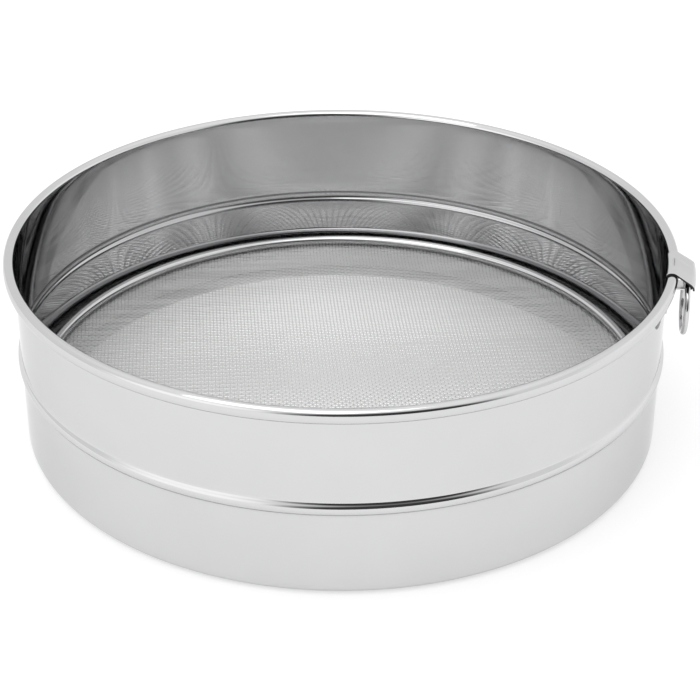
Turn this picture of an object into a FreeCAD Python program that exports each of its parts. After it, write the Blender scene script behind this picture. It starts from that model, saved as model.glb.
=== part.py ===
import FreeCAD, Part

import math
import os

# Soil sieve: a round stainless drum with a drop-in woven wire screen and a hanging ring.
# Millimetres. The origin is on the drum's axis, in the plane that it stands on. +Z is up.

# --- drum ---
DRUM_HEIGHT = 89.5            # from the bench to the top of the rolled rim
WALL_RADIUS = 145.6           # outside of the plain wall; with the roll the rim is 300 mm across
DRUM_SHEET = 0.6
ROLL_BEND = 2.15              # middle of the sheet, over the top and under the hollow roll
ROLL_SIDE_BEND = 5.0          # middle of the sheet, down the roll's outer side
ROLL_SIDE_TURN = 30.0         # degrees
ROLL_END_TURN = 115.0         # degrees
CORNER_RADIUS = 5.0           # outside of the bend from wall to bottom ledge
LEDGE_INNER_RADIUS = 134.0
BEAD_MIDDLE = 42.0            # height of the stiffening bead's crest
BEAD_HALF_HEIGHT = 4.0
BEAD_PROUD = 1.4

# --- woven screen ---
MESH_PITCH = 1.7
WIRE_DIAMETER = 0.4
MESH_TURN = 4.5               # degrees that the weave is turned about +Z
MESH_HEIGHT = 13.0            # middle of the cloth's flat floor
FLOOR_RADIUS = 133.5          # where the flat floor ends
CREST_RADIUS = 137.5          # where the cloth's slope meets its level edge
CREST_HEIGHT = 15.55          # middle of the cloth's level edge
CLOTH_RADIUS = 142.3
LAYER_OFFSET = 0.24           # warp lies this far under the cloth's middle, weft this far over
SLOPE_STEP = 8.0              # longest straight stretch of a wire on the cloth's slope

# --- screen frame, a pressed ring under the cloth ---
FRAME_SHEET = 0.6
FRAME_RADIUS = 143.2          # outside of its skirt, which passes the drum's mouth
FRAME_FOOT = 1.79             # height of the skirt's lower edge, held up by the corner bend
FRAME_BEND = 1.3
FRAME_LIP_END = 134.4
SHEET_GAP = 0.03              # left between pieces that lie on each other

# --- clamp ring, round wire over the cloth's edge ---
CLAMP_RADIUS = 140.0
CLAMP_WIRE = 4.8

# --- hanger ---
HANGER_AZIMUTH = -10.2        # degrees about +Z from +X
STRAP_SHEET = 0.8
STRAP_WIDTH = 22.1            # along the wall's outside
TAIL_WIDTH = 7.8
STRAP_START = 150.0           # degrees round the roll at which the strap's inner end lies
STRAP_SLOPE = 31.0            # degrees that the strap falls outside the rim
STRAP_RUN = 7.6               # straight length from the roll to the outer fold
FOLD_RADIUS = 3.4             # middle of the sheet
LIP_TURN = 55.0               # degrees of the fold that keep the strap's full width
TAIL_BEND = 1.6
TAIL_LENGTH = 11.0            # welded down the wall
RING_WIRE = 2.5
RING_RADIUS = 12.3            # middle of the wire
RING_YAW = 4.0                # degrees that the hanging ring is turned about the vertical
RING_DROP = 0.35              # the ring's wire hangs this far under the fold's centre

UP = FreeCAD.Vector(0, 0, 1)
ORIGIN = FreeCAD.Vector(0, 0, 0)


def point(radius, height):
    """A point of a section drawn in the XZ plane."""
    return FreeCAD.Vector(radius, 0, height)


class SheetPath:
    """The middle line of a sheet-metal section: runs and tangent bends, drawn in the XZ plane."""

    def __init__(self, radius, height, heading):
        self.radius = radius
        self.height = height
        self.heading = heading
        self.steps = []

    def side(self, offset):
        """The point beside the path's end, offset to the left of its heading."""
        angle = math.radians(self.heading + 90)
        return point(self.radius + offset * math.cos(angle), self.height + offset * math.sin(angle))

    def run(self, length):
        start = (self.radius, self.height, self.heading)
        self.radius += length * math.cos(math.radians(self.heading))
        self.height += length * math.sin(math.radians(self.heading))
        self.steps.append(("run", start, (self.radius, self.height, self.heading)))

    def rise_to(self, height):
        self.run((height - self.height) / math.sin(math.radians(self.heading)))

    def reach(self, radius):
        self.run((radius - self.radius) / math.cos(math.radians(self.heading)))

    def bend(self, bend_radius, degrees):
        """Turns left for a positive angle and right for a negative one."""
        start = (self.radius, self.height, self.heading)
        turn = math.copysign(1, degrees)
        centre = self.side(turn * bend_radius)
        self.heading += degrees
        angle = math.radians(self.heading + 90)
        self.radius = centre.x - turn * bend_radius * math.cos(angle)
        self.height = centre.z - turn * bend_radius * math.sin(angle)
        end = (self.radius, self.height, self.heading)
        self.steps.append(("bend", start, end, centre, turn, bend_radius, degrees))

    def edges(self, offset):
        """The path's edges, all moved to one side by the offset."""
        made = []
        for step in self.steps:
            first = beside(step[1], offset)
            last = beside(step[2], offset)
            if step[0] == "run":
                made.append(Part.LineSegment(first, last).toShape())
                continue
            centre, turn, bend_radius, degrees = step[3:]
            middle_angle = math.radians(step[1][2] + degrees / 2 + 90)
            reach = turn * bend_radius - offset
            middle = point(
                centre.x - reach * math.cos(middle_angle), centre.z - reach * math.sin(middle_angle)
            )
            made.append(Part.Arc(first, middle, last).toShape())
        return made

    def face(self, sheet):
        """The sheet's cut face, half its thickness to each side of the path."""
        left = self.edges(sheet / 2)
        right = self.edges(-sheet / 2)
        start = beside(self.steps[0][1], sheet / 2), beside(self.steps[0][1], -sheet / 2)
        end = beside(self.steps[-1][2], sheet / 2), beside(self.steps[-1][2], -sheet / 2)
        caps = [Part.LineSegment(*start).toShape(), Part.LineSegment(*end).toShape()]
        return Part.Face(Part.Wire(Part.__sortEdges__(left + right + caps)))


def beside(place, offset):
    """The point beside a place of a path, where a place is a radius, a height and a heading."""
    radius, height, heading = place
    angle = math.radians(heading + 90)
    return point(radius + offset * math.cos(angle), height + offset * math.sin(angle))


def swept_bump(rise, half_length):
    """Bend radius and angle of two equal tangent bends that step sideways by a rise."""
    angle = 2 * math.atan2(rise, half_length)
    return half_length / (2 * math.sin(angle)), math.degrees(angle)


def turned_piece(face, degrees=360.0, middle=0.0):
    """The section revolved about the drum's axis, centred on an azimuth."""
    turned = face.copy()
    turned.rotate(ORIGIN, UP, middle - degrees / 2)
    return turned.revolve(ORIGIN, UP, degrees)


def wire_ring(ring_radius, wire_diameter, height):
    ring = Part.makeTorus(ring_radius, wire_diameter / 2)
    ring.translate(FreeCAD.Vector(0, 0, height))
    return ring


def roll_centre():
    """Centre of the bend over the rim's top, and of the strap that hugs it."""
    middle = WALL_RADIUS - DRUM_SHEET / 2
    return point(middle + ROLL_BEND, DRUM_HEIGHT - DRUM_SHEET / 2 - ROLL_BEND)


def drum_shell():
    """One sheet: bottom ledge, corner, wall with a bead, and a rim rolled outward into an oval."""
    middle = WALL_RADIUS - DRUM_SHEET / 2
    corner = CORNER_RADIUS - DRUM_SHEET / 2
    bead_bend, bead_angle = swept_bump(BEAD_PROUD, BEAD_HALF_HEIGHT)

    path = SheetPath(LEDGE_INNER_RADIUS, DRUM_SHEET / 2, 0)
    path.reach(middle - corner)
    path.bend(corner, 90)
    path.rise_to(BEAD_MIDDLE - BEAD_HALF_HEIGHT)
    path.bend(bead_bend, -bead_angle)
    path.bend(bead_bend, 2 * bead_angle)
    path.bend(bead_bend, -bead_angle)
    path.rise_to(roll_centre().z)
    path.bend(ROLL_BEND, ROLL_SIDE_TURN / 2 - 180)
    path.bend(ROLL_SIDE_BEND, -ROLL_SIDE_TURN)
    path.bend(ROLL_BEND, -ROLL_END_TURN)
    return turned_piece(path.face(DRUM_SHEET))


def screen_frame():
    """The cloth's pressed carrier: a skirt, a level top and a lip that follows the cloth's slope."""
    slope = math.degrees(math.atan2(CREST_HEIGHT - MESH_HEIGHT, CREST_RADIUS - FLOOR_RADIUS))
    depth = LAYER_OFFSET + WIRE_DIAMETER / 2 + SHEET_GAP + FRAME_SHEET / 2
    corner_reach = (depth + FRAME_BEND) * math.tan(math.radians(slope / 2))

    path = SheetPath(FRAME_RADIUS - FRAME_SHEET / 2, FRAME_FOOT, 90)
    path.rise_to(CREST_HEIGHT - depth - FRAME_BEND)
    path.bend(FRAME_BEND, 90)
    path.reach(CREST_RADIUS + corner_reach)
    path.bend(FRAME_BEND, slope)
    path.reach(FRAME_LIP_END)
    return turned_piece(path.face(FRAME_SHEET))


def cloth_height(radius):
    """Height of the cloth's middle at a distance from the axis."""
    slope_share = (radius - FLOOR_RADIUS) / (CREST_RADIUS - FLOOR_RADIUS)
    slope_share = min(max(slope_share, 0), 1)
    return MESH_HEIGHT + slope_share * (CREST_HEIGHT - MESH_HEIGHT)


def reach_of(radius, across):
    """Half the length of a circle's chord at a distance across, or 0 outside the circle."""
    return math.sqrt(max(radius * radius - across * across, 0))


def mesh_wire(across, layer):
    """One wire of the cloth, along Y at a distance across: level, then up its slope to its edge."""
    foot = reach_of(FLOOR_RADIUS, across)
    crest = reach_of(CREST_RADIUS, across)
    stretches = max(math.ceil((crest - foot) / SLOPE_STEP), 1)
    reaches = [foot + (crest - foot) * step / stretches for step in range(stretches)]
    reaches += [crest, reach_of(CLOTH_RADIUS, across)]
    line = sorted({side * reach for reach in reaches for side in (-1, 1)})
    points = [
        FreeCAD.Vector(across, along, cloth_height(math.hypot(across, along)) + layer)
        for along in line
    ]
    start_face = Part.makeCircle(WIRE_DIAMETER / 2, points[0], points[1] - points[0])
    return Part.makePolygon(points).makePipeShell([Part.Wire(start_face)], True, False)


def mesh_layer(layer, turn):
    """All wires of one direction, side by side."""
    per_side = int((CLOTH_RADIUS - MESH_PITCH) / MESH_PITCH)
    wires = []
    for side in (-1, 1):
        for index in range(per_side):
            wire = mesh_wire(side * (index + 0.5) * MESH_PITCH, layer)
            wire.rotate(ORIGIN, UP, turn)
            wires.append(wire)
    return Part.makeCompound(wires)


def warp_wires():
    return mesh_layer(-LAYER_OFFSET, MESH_TURN)


def weft_wires():
    return mesh_layer(LAYER_OFFSET, MESH_TURN + 90)


def clamp_ring():
    """Round wire ring that holds the cloth's edge down on the frame."""
    cloth_top = CREST_HEIGHT + LAYER_OFFSET + WIRE_DIAMETER / 2
    return wire_ring(CLAMP_RADIUS, CLAMP_WIRE, cloth_top + SHEET_GAP + CLAMP_WIRE / 2)


def strap_top():
    """The strap's path over the rolled rim and down its slope, up to the outer fold."""
    hug = ROLL_BEND + DRUM_SHEET / 2 + SHEET_GAP + STRAP_SHEET / 2
    centre = roll_centre()
    start = math.radians(STRAP_START)
    path = SheetPath(
        centre.x + hug * math.cos(start), centre.z + hug * math.sin(start), STRAP_START - 90
    )
    path.bend(hug, -(STRAP_START - 90 + STRAP_SLOPE))
    path.run(STRAP_RUN)
    return path


def strap_piece(path, width):
    degrees = math.degrees(width / WALL_RADIUS)
    return turned_piece(path.face(STRAP_SHEET), degrees, HANGER_AZIMUTH)


def hanger_strap():
    """Bent strap that is welded on the rim and the wall, with an eye for the ring."""
    hood = strap_top()
    hood.bend(FOLD_RADIUS, -LIP_TURN)

    whole = strap_top()
    whole.bend(FOLD_RADIUS, -(180 - STRAP_SLOPE))
    whole.reach(WALL_RADIUS + SHEET_GAP + STRAP_SHEET / 2 + TAIL_BEND)
    whole.bend(TAIL_BEND, 90)
    whole.run(TAIL_LENGTH)

    wide = strap_piece(hood, STRAP_WIDTH)
    narrow = strap_piece(whole, TAIL_WIDTH)
    return wide.fuse(narrow).removeSplitter()


def ring_pivot():
    """Where the hanging ring's wire passes through the strap's fold."""
    fold_centre = strap_top().side(-FOLD_RADIUS)
    pivot = fold_centre - FreeCAD.Vector(0, 0, RING_DROP)
    return FreeCAD.Rotation(UP, HANGER_AZIMUTH).multVec(pivot)


def hanging_ring():
    """Round wire ring that hangs in the strap's fold, its plane upright."""
    ring = Part.makeTorus(RING_RADIUS, RING_WIRE / 2, ORIGIN, FreeCAD.Vector(1, 0, 0))
    ring.rotate(ORIGIN, UP, HANGER_AZIMUTH + RING_YAW)
    ring.translate(ring_pivot() - FreeCAD.Vector(0, 0, RING_RADIUS))
    return ring


PIECES = {
    "drum_shell": drum_shell,
    "screen_frame": screen_frame,
    "warp_wires": warp_wires,
    "weft_wires": weft_wires,
    "clamp_ring": clamp_ring,
    "hanger_strap": hanger_strap,
    "hanging_ring": hanging_ring,
}


def main():
    os.makedirs("parts", exist_ok=True)
    for name, make in PIECES.items():
        shape = make()
        shape.exportStep(os.path.join("parts", name + ".step"))
        solids = len(shape.Solids)
        print(name, "solids", solids, "valid", shape.isValid(), "volume mm3", round(shape.Volume, 1))
    pivot = ring_pivot()
    print("ring pivot", round(pivot.x, 3), round(pivot.y, 3), round(pivot.z, 3))


main()
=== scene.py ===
import math

import bpy
import numpy as np
from mathutils import Euler, Matrix, Vector

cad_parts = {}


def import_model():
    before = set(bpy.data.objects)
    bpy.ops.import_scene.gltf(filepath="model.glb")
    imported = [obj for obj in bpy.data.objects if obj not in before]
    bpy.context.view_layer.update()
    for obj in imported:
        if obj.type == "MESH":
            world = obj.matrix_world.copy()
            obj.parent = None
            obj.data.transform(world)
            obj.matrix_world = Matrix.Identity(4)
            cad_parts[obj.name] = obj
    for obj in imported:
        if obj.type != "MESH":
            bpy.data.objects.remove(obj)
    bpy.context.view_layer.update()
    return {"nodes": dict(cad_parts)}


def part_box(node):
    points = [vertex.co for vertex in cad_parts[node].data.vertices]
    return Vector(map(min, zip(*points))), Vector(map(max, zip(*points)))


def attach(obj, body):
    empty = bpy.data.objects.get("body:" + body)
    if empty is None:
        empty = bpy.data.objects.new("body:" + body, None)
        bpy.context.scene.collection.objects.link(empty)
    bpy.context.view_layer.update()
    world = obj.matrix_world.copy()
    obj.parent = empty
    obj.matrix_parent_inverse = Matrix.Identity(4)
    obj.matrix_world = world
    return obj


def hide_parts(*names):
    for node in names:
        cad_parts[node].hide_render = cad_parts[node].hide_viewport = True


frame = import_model()

# The looks of a polished soil sieve, in metres, in the CAD model's frame.
MM = 0.001

# --- sizes taken from the frame ---
DRUM_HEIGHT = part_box("drum_shell")[1].z
CLAMP_LOW, CLAMP_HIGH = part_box("clamp_ring")
RING_LOW, RING_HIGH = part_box("hanging_ring")
CLAMP_WIRE = CLAMP_HIGH.z - CLAMP_LOW.z
CLAMP_RADIUS = CLAMP_HIGH.x - CLAMP_WIRE / 2
CLAMP_MIDDLE = (CLAMP_LOW.z + CLAMP_HIGH.z) / 2

# --- drum section, the same as the CAD model's ---
ROLL_BEND = 2.15 * MM
ROLL_SIDE_BEND = 5.0 * MM
ROLL_SIDE_TURN = 30
ROLL_END_TURN = 115
WALL_RADIUS = 145.6 * MM
DRUM_SHEET = 0.6 * MM
CORNER_RADIUS = 5.0 * MM
LEDGE_INNER_RADIUS = 134.0 * MM
BEAD_MIDDLE = 42.0 * MM
BEAD_HALF_HEIGHT = 4.0 * MM
BEAD_PROUD = 1.4 * MM
DRUM_SEGMENTS = 720
WAVE_HEIGHT = 0.003 * MM      # the sheet's faint waves, which fade out towards its rolled and bent edges
WAVE_FADE_TOP = 20 * MM
WAVE_FADE_BOTTOM = 10 * MM

# --- woven cloth ---
MESH_PITCH = 1.7 * MM
WIRE_DIAMETER = 0.4 * MM
MESH_TURN = math.radians(4.5)
MESH_HEIGHT = 13.0 * MM
CREST_HEIGHT = 15.55 * MM
FLOOR_RADIUS = 133.5 * MM
CREST_RADIUS = 137.5 * MM
CLOTH_RADIUS = 142.3 * MM
CREST_EASE = 0.35             # how much the cloth's rise to its crest is eased at both ends
WARP_CRIMP = 0.27 * MM        # how far a wire's middle rises or falls at each crossing
WEFT_CRIMP = 0.14 * MM
PITCH_ERROR = 0.006 * MM      # spread of the wires' places
WIRE_SIDES = 6
CLOTH_PARTS = 4               # pieces that each direction of the cloth is split into

# --- hanger ---
HANGER_AZIMUTH = math.radians(-10.2)
STRAP_SHEET = 0.8 * MM
STRAP_WIDTH = 22.1 * MM
STRAP_COLUMNS = 17            # points across a band, which follows the drum's curve
TAIL_WIDTH = 7.8 * MM
STRAP_START = 150
STRAP_SLOPE = 31
STRAP_RUN = 7.6 * MM
FOLD_RADIUS = 3.4 * MM
LIP_TURN = 55
TAIL_BEND = 1.6 * MM
TAIL_LENGTH = 11.0 * MM
SHEET_GAP = 0.03 * MM
RING_WIRE = 2.5 * MM
RING_RADIUS = 12.3 * MM
RING_YAW = math.radians(4.0)
CLAMP_STEPS, CLAMP_SIDES = 1440, 28
RING_STEPS, RING_SIDES = 180, 24
JOINT_DEPTH = 0.05            # groove at a wire ring's butt joint, of the wire's radius
JOINT_WIDTH = 0.25 * MM


# --- cut edges of the sheets ---
ROUND_DEGREES = (60, 30, 0, -30, -60)     # where a rounded edge has its points
ROUND_DEPTH = 0.6                         # how far it falls back at its corners, of half the sheet
STRAP_EDGE = 0.12 * MM


# --------------------------------------------------------------------------- meshes

def make_object(name, vertices, faces, material, smooth=True):
    mesh = bpy.data.meshes.new(name)
    mesh.from_pydata([tuple(v) for v in vertices], [], [tuple(f) for f in faces])
    mesh.update()
    mesh.polygons.foreach_set("use_smooth", [smooth] * len(mesh.polygons))
    mesh.materials.append(material)
    made = bpy.data.objects.new(name, mesh)
    bpy.context.scene.collection.objects.link(made)
    return made


class SheetPath:
    """Points along the middle of a sheet's section: runs and tangent bends, as (radius, height, heading)."""

    def __init__(self, radius, height, heading):
        self.radius = radius
        self.height = height
        self.heading = heading
        self.points = [(radius, height, heading)]

    def run(self, length, steps=1):
        for _ in range(steps):
            self.radius += length / steps * math.cos(math.radians(self.heading))
            self.height += length / steps * math.sin(math.radians(self.heading))
            self.points.append((self.radius, self.height, self.heading))

    def rise_to(self, height, steps=1):
        self.run((height - self.height) / math.sin(math.radians(self.heading)), steps)

    def reach(self, radius, steps=1):
        self.run((radius - self.radius) / math.cos(math.radians(self.heading)), steps)

    def bend(self, bend_radius, degrees, step_degrees=7.5):
        steps = max(2, math.ceil(abs(degrees) / step_degrees))
        turn = math.radians(degrees / steps)
        chord = 2 * bend_radius * math.sin(abs(turn) / 2)
        for _ in range(steps):
            self.heading += degrees / steps / 2
            self.radius += chord * math.cos(math.radians(self.heading))
            self.height += chord * math.sin(math.radians(self.heading))
            self.heading += degrees / steps / 2
            self.points.append((self.radius, self.height, self.heading))

    def outline(self, sheet):
        """The section's closed outline, with its two cut edges rounded."""
        left = [beside(place, sheet / 2) for place in self.points]
        right = [beside(place, -sheet / 2) for place in self.points]
        start = edge_round(self.points[0], sheet / 2, -1)
        end = edge_round(self.points[-1], sheet / 2, 1)
        return left + end + right[::-1] + start


def beside(place, offset):
    radius, height, heading = place
    angle = math.radians(heading + 90)
    return radius + offset * math.cos(angle), height + offset * math.sin(angle)


def edge_round(place, half, way):
    """Points round a sheet's cut edge: from its left to its right for way 1, back for way -1."""
    radius, height, heading = place
    ahead = math.radians(heading)
    points = []
    for degrees in ROUND_DEGREES:
        turn = math.radians(degrees) * way
        along = -half * (1 - math.cos(turn)) * ROUND_DEPTH * way
        across = half * math.sin(turn)
        points.append((
            radius + along * math.cos(ahead) - across * math.sin(ahead),
            height + along * math.sin(ahead) + across * math.cos(ahead),
        ))
    return points


def lathe(name, outline, segments, material, relief=None):
    """A closed outline turned about the Z axis. relief moves a point out by a small radius."""
    angles = np.arange(segments) * 2 * math.pi / segments
    outline = np.array(outline)
    count = len(outline)
    radii = np.repeat(outline[:, 0][:, None], segments, axis=1)
    heights = np.repeat(outline[:, 1][:, None], segments, axis=1)
    if relief is not None:
        radii = radii + relief(angles[None, :], heights)
    vertices = np.stack([radii * np.cos(angles), radii * np.sin(angles), heights], axis=-1)
    row = np.arange(count)[:, None] * segments
    next_row = (np.arange(count)[:, None] + 1) % count * segments
    column = np.arange(segments)[None, :]
    next_column = (column + 1) % segments
    faces = np.stack(
        [row + column, next_row + column, next_row + next_column, row + next_column], axis=-1
    )
    return make_object(name, vertices.reshape(-1, 3), faces.reshape(-1, 4), material)


def swept_bump(rise, half_length):
    angle = 2 * math.atan2(rise, half_length)
    return half_length / (2 * math.sin(angle)), math.degrees(angle)


def roll_centre():
    """Radius and height of the centre of the bend over the rim's top."""
    middle = WALL_RADIUS - DRUM_SHEET / 2
    return middle + ROLL_BEND, DRUM_HEIGHT - DRUM_SHEET / 2 - ROLL_BEND


def drum_outline():
    """The drum's section, and how many of its first edges lie on the drum's inner side."""
    middle = WALL_RADIUS - DRUM_SHEET / 2
    corner = CORNER_RADIUS - DRUM_SHEET / 2
    bead_bend, bead_angle = swept_bump(BEAD_PROUD, BEAD_HALF_HEIGHT)
    path = SheetPath(LEDGE_INNER_RADIUS, DRUM_SHEET / 2, 0)
    path.reach(middle - corner, steps=3)
    path.bend(corner, 90, step_degrees=5)
    path.rise_to(BEAD_MIDDLE - BEAD_HALF_HEIGHT, steps=8)
    path.bend(bead_bend, -bead_angle, step_degrees=2.5)
    path.bend(bead_bend, 2 * bead_angle, step_degrees=2.5)
    path.bend(bead_bend, -bead_angle, step_degrees=2.5)
    path.rise_to(roll_centre()[1], steps=10)
    inner_rows = len(path.points) - 1
    path.bend(ROLL_BEND, ROLL_SIDE_TURN / 2 - 180, step_degrees=10)
    path.bend(ROLL_SIDE_BEND, -ROLL_SIDE_TURN, step_degrees=5)
    path.bend(ROLL_BEND, -ROLL_END_TURN, step_degrees=10)
    return path.outline(DRUM_SHEET), inner_rows


# --------------------------------------------------------------------------- cloth

def smooth_step(value):
    value = np.clip(value, 0, 1)
    return value * value * (3 - 2 * value)


def cloth_height(radius):
    share = (radius - FLOOR_RADIUS) / (CREST_RADIUS - FLOOR_RADIUS)
    rise = CREST_EASE * smooth_step(share) + (1 - CREST_EASE) * np.clip(share, 0, 1)
    return MESH_HEIGHT + (CREST_HEIGHT - MESH_HEIGHT) * rise


def wire_places(rng):
    """Distances of one direction's wires from the middle: even, with the loom's small errors."""
    per_side = int((CLOTH_RADIUS - MESH_PITCH) / MESH_PITCH)
    index = np.arange(-per_side, per_side)
    return (index + 0.5) * MESH_PITCH + rng.normal(0, PITCH_ERROR, len(index))


def woven_wires(own, crossed, crimp, turn):
    """Vertices and faces of each wire of one direction: over and under the wires it crosses."""
    ring_angle = np.arange(WIRE_SIDES) * 2 * math.pi / WIRE_SIDES
    ring = np.stack([np.cos(ring_angle), np.sin(ring_angle)], axis=-1) * WIRE_DIAMETER / 2
    cos_turn, sin_turn = math.cos(turn), math.sin(turn)
    wires = []
    for number, across in enumerate(own):
        reach = math.sqrt(CLOTH_RADIUS ** 2 - across ** 2)
        met = np.flatnonzero(np.abs(crossed) < reach - WIRE_DIAMETER)
        stops = crossed[met]
        lifts = np.where((met + number) % 2 == 0, 1.0, -1.0) * crimp
        along = np.empty(2 * len(stops) + 1)
        lift = np.zeros(2 * len(stops) + 1)
        along[1::2] = stops
        lift[1::2] = lifts
        along[2:-1:2] = (stops[1:] + stops[:-1]) / 2
        along[0], along[-1] = -reach, reach
        height = cloth_height(np.hypot(across, along)) + lift
        slope = np.gradient(height, along)
        level = 1 / np.sqrt(1 + slope ** 2)
        side = ring[None, :, 0] + across
        forward = along[:, None] - ring[None, :, 1] * (slope * level)[:, None]
        upward = height[:, None] + ring[None, :, 1] * level[:, None]
        side = np.broadcast_to(side, forward.shape)
        wires.append(np.stack(
            [side * cos_turn - forward * sin_turn, side * sin_turn + forward * cos_turn, upward], axis=-1
        ))
    return wires


def join_wires(name, wires, material):
    """One mesh of many wires: closed tubes with flat ends."""
    vertices = []
    quads = []
    caps = []
    base = 0
    corner = np.arange(WIRE_SIDES)
    for wire in wires:
        stations = len(wire)
        vertices.append(wire.reshape(-1, 3))
        start = base + np.arange(stations - 1)[:, None] * WIRE_SIDES
        here = start + corner[None, :]
        beyond = start + (corner[None, :] + 1) % WIRE_SIDES
        quads.append(np.stack([here, beyond, beyond + WIRE_SIDES, here + WIRE_SIDES], axis=-1).reshape(-1, 4))
        caps.append(base + corner[::-1])
        caps.append(base + (stations - 1) * WIRE_SIDES + corner)
        base += stations * WIRE_SIDES
    vertices = np.concatenate(vertices)
    quads = np.concatenate(quads)
    caps = np.array(caps)
    mesh = bpy.data.meshes.new(name)
    mesh.vertices.add(len(vertices))
    mesh.vertices.foreach_set("co", vertices.ravel())
    loops = np.concatenate([quads.ravel(), caps.ravel()])
    mesh.loops.add(len(loops))
    mesh.loops.foreach_set("vertex_index", loops)
    sizes = np.concatenate([np.full(len(quads), 4), np.full(len(caps), WIRE_SIDES)])
    mesh.polygons.add(len(sizes))
    mesh.polygons.foreach_set("loop_start", np.concatenate([[0], np.cumsum(sizes)[:-1]]))
    smooth = np.concatenate([np.full(len(quads), True), np.full(len(caps), False)])
    mesh.polygons.foreach_set("use_smooth", smooth)
    mesh.update(calc_edges=True)
    mesh.materials.append(material)
    made = bpy.data.objects.new(name, mesh)
    bpy.context.scene.collection.objects.link(made)
    return made


def cloth(warp_steel_painted_shade, weft_steel_painted_light):
    rng = np.random.default_rng(4)
    warp_places = wire_places(rng)
    weft_places = wire_places(rng)
    # The warp wires take a darker copy of the wire steel (painted shade) and the weft wires a lighter copy
    # (painted light).
    for node, own, crossed, crimp, turn, material in (
        ("warp_wires", warp_places, weft_places, WARP_CRIMP, MESH_TURN, warp_steel_painted_shade),
        ("weft_wires", weft_places, -warp_places, -WEFT_CRIMP, MESH_TURN + math.pi / 2, weft_steel_painted_light),
    ):
        wires = woven_wires(own, crossed, crimp, turn)
        cuts = np.array_split(np.arange(len(wires)), CLOTH_PARTS)
        for part, chosen in enumerate(cuts, start=1):
            piece = join_wires(f"{node}_{part}", [wires[index] for index in chosen], material)
            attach(piece, "screen")
            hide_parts(node)


# --------------------------------------------------------------------------- materials

EDGE_TINT = 0.85                  # how much of a metal's extra glare at grazing angles is kept
LINE_DETAIL = 4.0
LINE_CONTRAST = (0.12, 0.40)      # lines times clouds, from the smoothest steel to the roughest
CLOUD_DETAIL = 3.0
CLOUD_CONTRAST = (0.25, 0.75)
CLOUD_SCALE = 24.0                # cloudy patches, per metre
CLOUD_SHADE = 0.965               # the darkest patch's share of the tint
RIPPLE_DEPTH = 0.00002            # metres


def polished_steel(name, tint, low, high, streak_scale, bump):
    """Polished stainless steel: fine polishing lines, cloudy roughness and faint ripples of the sheet."""
    material = bpy.data.materials.new(name)
    material.use_nodes = True
    nodes, links = material.node_tree.nodes, material.node_tree.links
    shader = nodes["Principled BSDF"]
    shader.inputs["Metallic"].default_value = 1.0
    shader.inputs["Specular Tint"].default_value = (EDGE_TINT, EDGE_TINT, EDGE_TINT, 1)
    where = nodes.new("ShaderNodeTexCoord")

    stretch = nodes.new("ShaderNodeMapping")
    stretch.inputs["Scale"].default_value = streak_scale
    links.new(where.outputs["Object"], stretch.inputs["Vector"])
    lines = nodes.new("ShaderNodeTexNoise")
    lines.inputs["Scale"].default_value = 1.0
    lines.inputs["Detail"].default_value = LINE_DETAIL
    links.new(stretch.outputs["Vector"], lines.inputs["Vector"])

    clouds = nodes.new("ShaderNodeTexNoise")
    clouds.inputs["Scale"].default_value = CLOUD_SCALE
    clouds.inputs["Detail"].default_value = CLOUD_DETAIL
    links.new(where.outputs["Object"], clouds.inputs["Vector"])

    both = nodes.new("ShaderNodeMath")
    both.operation = "MULTIPLY"
    links.new(lines.outputs["Fac"], both.inputs[0])
    links.new(clouds.outputs["Fac"], both.inputs[1])
    rough = nodes.new("ShaderNodeMapRange")
    rough.inputs["From Min"].default_value = LINE_CONTRAST[0]
    rough.inputs["From Max"].default_value = LINE_CONTRAST[1]
    rough.inputs["To Min"].default_value = low
    rough.inputs["To Max"].default_value = high
    links.new(both.outputs["Value"], rough.inputs["Value"])
    links.new(rough.outputs["Result"], shader.inputs["Roughness"])

    colour = nodes.new("ShaderNodeValToRGB")
    colour.color_ramp.elements[0].position = CLOUD_CONTRAST[0]
    colour.color_ramp.elements[1].position = CLOUD_CONTRAST[1]
    colour.color_ramp.elements[0].color = (*[channel * CLOUD_SHADE for channel in tint], 1)
    colour.color_ramp.elements[1].color = (*tint, 1)
    links.new(clouds.outputs["Fac"], colour.inputs["Fac"])
    links.new(colour.outputs["Color"], shader.inputs["Base Color"])

    ripple = nodes.new("ShaderNodeBump")
    ripple.inputs["Strength"].default_value = bump
    ripple.inputs["Distance"].default_value = RIPPLE_DEPTH
    links.new(lines.outputs["Fac"], ripple.inputs["Height"])
    links.new(ripple.outputs["Normal"], shader.inputs["Normal"])
    return material


# --------------------------------------------------------------------------- pieces

def drum(material, painted_shade):
    """The drum's sheet, with the faint out-of-round waves that show in its reflections."""
    def relief(angles, heights):
        slow = np.sin(5 * angles + 60 * heights)
        quick = 0.6 * np.sin(11 * angles - 45 * heights + 1.3)
        below_rim = np.clip((DRUM_HEIGHT - heights) / WAVE_FADE_TOP, 0, 1)
        above_floor = np.clip(heights / WAVE_FADE_BOTTOM, 0, 1)
        return (slow + quick) * below_rim * above_floor * WAVE_HEIGHT

    outline, inner_rows = drum_outline()
    made = lathe("drum_shell_skin", outline, DRUM_SEGMENTS, material, relief)
    # The faces on the drum's inner side get a darker copy of the drum's steel: painted shade on the inside of
    # the drum.
    made.data.materials.append(painted_shade)
    rows = np.arange(len(outline)) < inner_rows
    made.data.polygons.foreach_set("material_index", np.repeat(rows.astype(np.int32), DRUM_SEGMENTS))
    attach(made, "drum")
    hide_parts("drum_shell")


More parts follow.
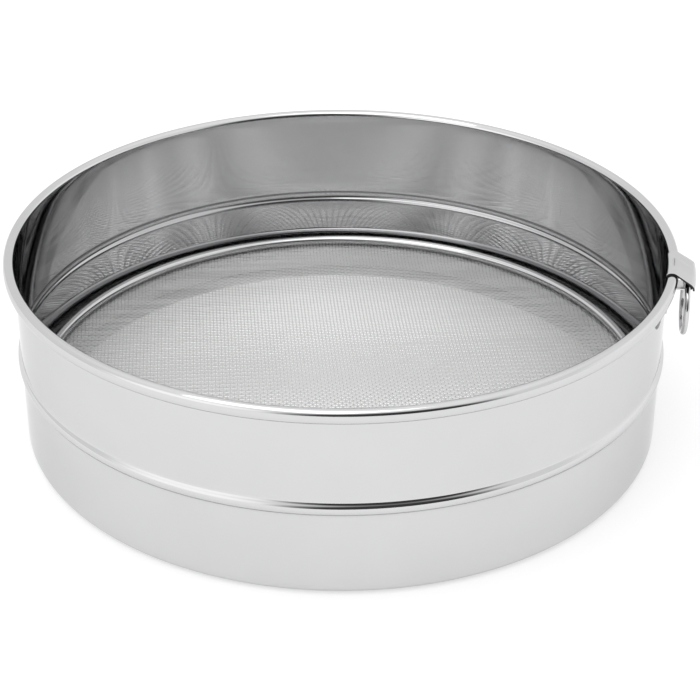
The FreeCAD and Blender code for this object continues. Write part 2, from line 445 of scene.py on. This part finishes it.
def wire_loop(name, ring_radius, wire, segments, sides, material):
    """A ring of round wire about Z, with a ground butt joint opposite +X."""
    angles = np.arange(segments) * 2 * math.pi / segments
    around = np.arange(sides) * 2 * math.pi / sides
    off = np.abs(np.angle(np.exp(1j * (angles - math.pi)))) * ring_radius
    groove = 1 - JOINT_DEPTH * np.exp(-(off / JOINT_WIDTH) ** 2)
    radius = wire / 2 * groove
    across = ring_radius + radius[:, None] * np.cos(around)[None, :]
    height = radius[:, None] * np.sin(around)[None, :]
    vertices = np.stack(
        [across * np.cos(angles)[:, None], across * np.sin(angles)[:, None], height], axis=-1
    )
    row = np.arange(segments)[:, None] * sides
    next_row = (np.arange(segments)[:, None] + 1) % segments * sides
    column = np.arange(sides)[None, :]
    next_column = (column + 1) % sides
    faces = np.stack([row + column, next_row + column, next_row + next_column, row + next_column], axis=-1)
    return make_object(name, vertices.reshape(-1, 3), faces.reshape(-1, 4), material)


def clamp(material):
    made = wire_loop("clamp_ring_wire", CLAMP_RADIUS, CLAMP_WIRE, CLAMP_STEPS, CLAMP_SIDES, material)
    made.location = (0, 0, CLAMP_MIDDLE)
    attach(made, "screen")
    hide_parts("clamp_ring")


def strap_top():
    hug = ROLL_BEND + DRUM_SHEET / 2 + SHEET_GAP + STRAP_SHEET / 2
    radius, height = roll_centre()
    start = math.radians(STRAP_START)
    path = SheetPath(radius + hug * math.cos(start), height + hug * math.sin(start), STRAP_START - 90)
    path.bend(hug, -(STRAP_START - 90 + STRAP_SLOPE))
    path.run(STRAP_RUN, 3)
    return path


def strap_band(name, path, width, material, painted_shade, covered):
    """A band of sheet along a path, centred on the hanger's azimuth.

    Its inner face and side edges get a near-black painted shade on its first steps, as many as covered says:
    the shadow under the hood.
    """
    outline = np.array(path.outline(STRAP_SHEET))
    half = width / 2 / WALL_RADIUS
    angles = HANGER_AZIMUTH + np.linspace(-half, half, STRAP_COLUMNS)
    count = len(outline)
    vertices = []
    for angle in angles:
        vertices += [(r * math.cos(angle), r * math.sin(angle), z) for r, z in outline]
    faces = []
    for row in range(len(angles) - 1):
        for index in range(count):
            here, beyond = row * count + index, row * count + (index + 1) % count
            faces.append((here, here + count, beyond + count, beyond))
    last = (len(angles) - 1) * count
    rung = len(path.points)
    ladder = cap_ladder(rung, count)
    faces += [tuple(face) for face in ladder]
    faces += [tuple(last + index for index in reversed(face)) for face in ladder]
    made = make_object(name, vertices, faces, material)
    made.data.materials.append(painted_shade)
    inner_end = count - 1 - len(ROUND_DEGREES)
    inner = range(inner_end - covered, inner_end)
    # Faces under the hood get the near-black material: painted shade standing in for the hood's shadow.
    painted_shade_faces = [row * count + index for row in range(len(angles) - 1) for index in inner]
    painted_shade_faces += [last + index for index in range(covered)]
    painted_shade_faces += [last + len(ladder) + index for index in range(covered)]
    for index in painted_shade_faces:
        made.data.polygons[index].material_index = 1
    bevel = made.modifiers.new("edge", "BEVEL")
    bevel.width = STRAP_EDGE
    bevel.segments = 2
    bevel.limit_method = "ANGLE"
    bevel.angle_limit = math.radians(50)
    return made


def cap_ladder(rung, count):
    """Faces that close a sheet outline's flat side: quads between its left and right points."""
    left = list(range(rung))
    ends = (count - 2 * rung) // 2
    right = list(range(2 * rung + ends - 1, rung + ends - 1, -1))
    faces = [(left[i], left[i + 1], right[i + 1], right[i]) for i in range(rung - 1)]
    faces.append(tuple([left[-1], *range(rung, rung + ends), right[-1]]))
    faces.append(tuple([right[0], *range(2 * rung + ends, count), left[0]]))
    return faces


def strap(material, painted_shade):
    """The hood over the rim, and the narrower band that folds back under it and runs down the wall."""
    hood = strap_top()
    hood.bend(FOLD_RADIUS, -LIP_TURN)
    whole = strap_top()
    whole.bend(FOLD_RADIUS, -(180 - STRAP_SLOPE))
    covered = len(whole.points) - 1
    whole.reach(WALL_RADIUS + SHEET_GAP + STRAP_SHEET / 2 + TAIL_BEND, 2)
    whole.bend(TAIL_BEND, 90)
    whole.run(TAIL_LENGTH, 6)
    for name, path, width, shaded_steps in (
        ("strap_hood", hood, STRAP_WIDTH, len(hood.points) - 1),
        ("strap_eye", whole, TAIL_WIDTH, covered),
    ):
        made = strap_band(name, path, width, material, painted_shade, shaded_steps)
        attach(made, "drum")
        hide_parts("hanger_strap")


def hanging_ring(material):
    made = wire_loop("hanging_ring_wire", RING_RADIUS, RING_WIRE, RING_STEPS, RING_SIDES, material)
    upright = Euler((0, math.pi / 2, 0)).to_matrix().to_4x4()
    azimuth = Matrix.Rotation(HANGER_AZIMUTH + RING_YAW, 4, "Z")
    middle = (RING_LOW + RING_HIGH) / 2
    made.matrix_world = Matrix.Translation(middle) @ azimuth @ upright
    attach(made, "ring")
    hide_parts("hanging_ring")


# --------------------------------------------------------------------------- studio

FLOOR_HALF = 6.0
FLOOR_GLOW = 0.5                  # the floor is a lit table
TABLE_LAMP_GLOW = 1.3             # its lamp is under the sieve, so the screen is lit from below too
STUDIO_REACH = 1.6                # from the sieve to the softbox above it
WORLD_LIGHT = 0.95
GAP_DIRECTION = (16, 10)          # azimuth and elevation of the middle of the unlit gap in front
GAP_SHADE = 0.06                  # share of the light that is left there
GAP_INNER, GAP_OUTER = 20, 42     # degrees from its middle where it fades from and to
FLOOR_PAINT = 0.56
LAMP_FULL = LEDGE_INNER_RADIUS * 0.6      # out to here the table's lamp is at its brightest
LAMP_END = LEDGE_INNER_RADIUS * 1.06
CEILING_DIRECTION = (-30, 70)
CEILING_SIZE = 1.2
CEILING_GLOW = 1.2
# Soft lights on the studio's walls: azimuth, elevation, where each fades from and to, all in degrees,
# and the light that it adds.
WALL_LIGHTS = (
    (-50, 14, 4, 36, 0.5),
    (110, 0, 10, 40, 0.25),
    (0, 90, 20, 60, 0.2),
)


def direction(azimuth, elevation):
    """Unit vector at an azimuth to the right of -Y and an elevation above the floor."""
    return Vector((
        math.sin(azimuth) * math.cos(elevation),
        -math.cos(azimuth) * math.cos(elevation),
        math.sin(elevation),
    ))


def floor():
    material = bpy.data.materials.new("floor_white")
    material.use_nodes = True
    nodes, links = material.node_tree.nodes, material.node_tree.links
    shader = nodes["Principled BSDF"]
    shader.inputs["Base Color"].default_value = (FLOOR_PAINT, FLOOR_PAINT, FLOOR_PAINT, 1)
    shader.inputs["Roughness"].default_value = 0.9
    shader.inputs["Specular IOR Level"].default_value = 0.1
    shader.inputs["Emission Color"].default_value = (1, 1, 1, 1)
    where = nodes.new("ShaderNodeTexCoord")
    reach = nodes.new("ShaderNodeVectorMath")
    reach.operation = "LENGTH"
    links.new(where.outputs["Object"], reach.inputs[0])
    glow = nodes.new("ShaderNodeMapRange")
    glow.interpolation_type = "SMOOTHSTEP"
    glow.inputs["From Min"].default_value = LAMP_FULL
    glow.inputs["From Max"].default_value = LAMP_END
    glow.inputs["To Min"].default_value = TABLE_LAMP_GLOW
    glow.inputs["To Max"].default_value = FLOOR_GLOW
    links.new(reach.outputs["Value"], glow.inputs["Value"])
    links.new(glow.outputs["Result"], shader.inputs["Emission Strength"])
    half = FLOOR_HALF
    vertices = [(-half, -half, 0), (half, -half, 0), (half, half, 0), (-half, half, 0)]
    make_object("floor", vertices, [(0, 1, 2, 3)], material, False)


def softbox(name, towards, size, radiance):
    """A square soft light that faces the sieve, as bright as its radiance everywhere."""
    azimuth, elevation = towards
    light = bpy.data.lights.new(name, "AREA")
    light.shape = "SQUARE"
    light.size = size
    light.energy = radiance * math.pi * size ** 2
    made = bpy.data.objects.new(name, light)
    bpy.context.scene.collection.objects.link(made)
    out = direction(math.radians(azimuth), math.radians(elevation))
    made.location = out * STUDIO_REACH
    made.rotation_euler = out.to_track_quat("Z", "Y").to_euler()


def fade_about(nodes, links, towards, inner, outer, at_middle, outside):
    """A value over the world: at_middle within inner degrees of a direction, outside beyond outer degrees."""
    azimuth, elevation = towards
    where = nodes.new("ShaderNodeTexCoord")
    along = nodes.new("ShaderNodeVectorMath")
    along.operation = "DOT_PRODUCT"
    along.inputs[1].default_value = direction(math.radians(azimuth), math.radians(elevation))
    links.new(where.outputs["Generated"], along.inputs[0])
    value = nodes.new("ShaderNodeMapRange")
    value.interpolation_type = "SMOOTHSTEP"
    value.inputs["From Min"].default_value = math.cos(math.radians(outer))
    value.inputs["From Max"].default_value = math.cos(math.radians(inner))
    value.inputs["To Min"].default_value = outside
    value.inputs["To Max"].default_value = at_middle
    links.new(along.outputs["Value"], value.inputs["Value"])
    return value.outputs["Result"]


def world():
    """Pale walls and ceiling with soft lights on them, and an unlit gap in front."""
    made = bpy.data.worlds.new("studio")
    made.use_nodes = True
    nodes, links = made.node_tree.nodes, made.node_tree.links
    nodes["Background"].inputs["Color"].default_value = (1, 1, 1, 1)
    light = nodes.new("ShaderNodeValue").outputs["Value"]
    light.default_value = WORLD_LIGHT
    for azimuth, elevation, inner, outer, extra in WALL_LIGHTS:
        glow = fade_about(nodes, links, (azimuth, elevation), inner, outer, extra, 0.0)
        add = nodes.new("ShaderNodeMath")
        add.operation = "ADD"
        links.new(glow, add.inputs[0])
        links.new(light, add.inputs[1])
        light = add.outputs["Value"]
    shade = nodes.new("ShaderNodeMath")
    shade.operation = "MULTIPLY"
    links.new(light, shade.inputs[0])
    gap = fade_about(nodes, links, GAP_DIRECTION, GAP_INNER, GAP_OUTER, GAP_SHADE, 1.0)
    links.new(gap, shade.inputs[1])
    links.new(shade.outputs["Value"], nodes["Background"].inputs["Strength"])
    bpy.context.scene.world = made


def studio():
    floor()
    world()
    softbox("ceiling_softbox", CEILING_DIRECTION, CEILING_SIZE, CEILING_GLOW)
    bpy.context.scene.view_settings.view_transform = "Standard"


# --------------------------------------------------------------------------- camera

CAMERA_DISTANCE = 842.35 * MM       # from the point that it is aimed by
CAMERA_ELEVATION = math.radians(29.0)
AIM_HEIGHT = 44.8 * MM
SENSOR = 36.0
FOCAL = 94.15
AIM_LEFT = math.radians(0.2723)     # how far the aim point is to the left of the camera's axis
AIM_ABOVE = math.radians(0.8231)    # and above it
ROLL = math.radians(0.1)


def camera():
    data = bpy.data.cameras.new("camera")
    data.sensor_width = SENSOR
    data.lens = FOCAL
    made = bpy.data.objects.new("camera", data)
    bpy.context.scene.collection.objects.link(made)
    aim = Vector((0, 0, AIM_HEIGHT))
    back = Vector((0, -math.cos(CAMERA_ELEVATION), math.sin(CAMERA_ELEVATION)))
    right = Vector((1, 0, 0))
    up = back.cross(right)
    level = Matrix((right, up, back)).transposed()
    seen = Vector((-math.tan(AIM_LEFT), math.tan(AIM_ABOVE), -1)).normalized()
    turn = seen.rotation_difference(Vector((0, 0, -1))).to_matrix()
    roll = Matrix.Rotation(ROLL, 3, "Z")
    made.matrix_world = Matrix.Translation(aim + back * CAMERA_DISTANCE) @ (level @ roll @ turn).to_4x4()
    bpy.context.scene.camera = made


drum_steel = polished_steel("drum_steel", (0.64, 0.64, 0.645), 0.04, 0.08, (40, 40, 900), 0.05)
# A darker copy of the drum's steel for the drum's inner side: painted shade.
drum_inside_painted_shade = polished_steel("drum_inside_painted_shade", (0.5, 0.5, 0.505), 0.04, 0.08, (40, 40, 900), 0.05)
wire_steel = polished_steel("wire_steel", (0.61, 0.61, 0.615), 0.05, 0.12, (300, 300, 1500), 0.1)
# Warp and weft are the same steel wire: the warp's darker tint is painted shade and the weft's lighter tint
# is painted light.
warp_steel_painted_shade = polished_steel("warp_steel_painted_shade", (0.5, 0.5, 0.5), 0.8, 1.0, (900, 900, 900), 0.2)
weft_steel_painted_light = polished_steel("weft_steel_painted_light", (0.88, 0.88, 0.88), 0.8, 1.0, (900, 900, 900), 0.2)
strap_steel = polished_steel("strap_steel", (0.66, 0.66, 0.665), 0.10, 0.2, (300, 300, 1500), 0.15)
# Near-black copy of the strap's steel for the underside of the hood: painted shade.
strap_inside_painted_shade = polished_steel("strap_inside_painted_shade", (0.05, 0.05, 0.052), 0.35, 0.5, (300, 300, 1500), 0.3)
frame_steel = polished_steel("frame_steel", (0.82, 0.82, 0.82), 0.5, 0.7, (60, 60, 900), 0.2)

drum(drum_steel, drum_inside_painted_shade)
frame["nodes"]["screen_frame"].data.materials.clear()
frame["nodes"]["screen_frame"].data.materials.append(frame_steel)
cloth(warp_steel_painted_shade, weft_steel_painted_light)
clamp(wire_steel)
strap(strap_steel, strap_inside_painted_shade)
hanging_ring(wire_steel)
studio()
camera()
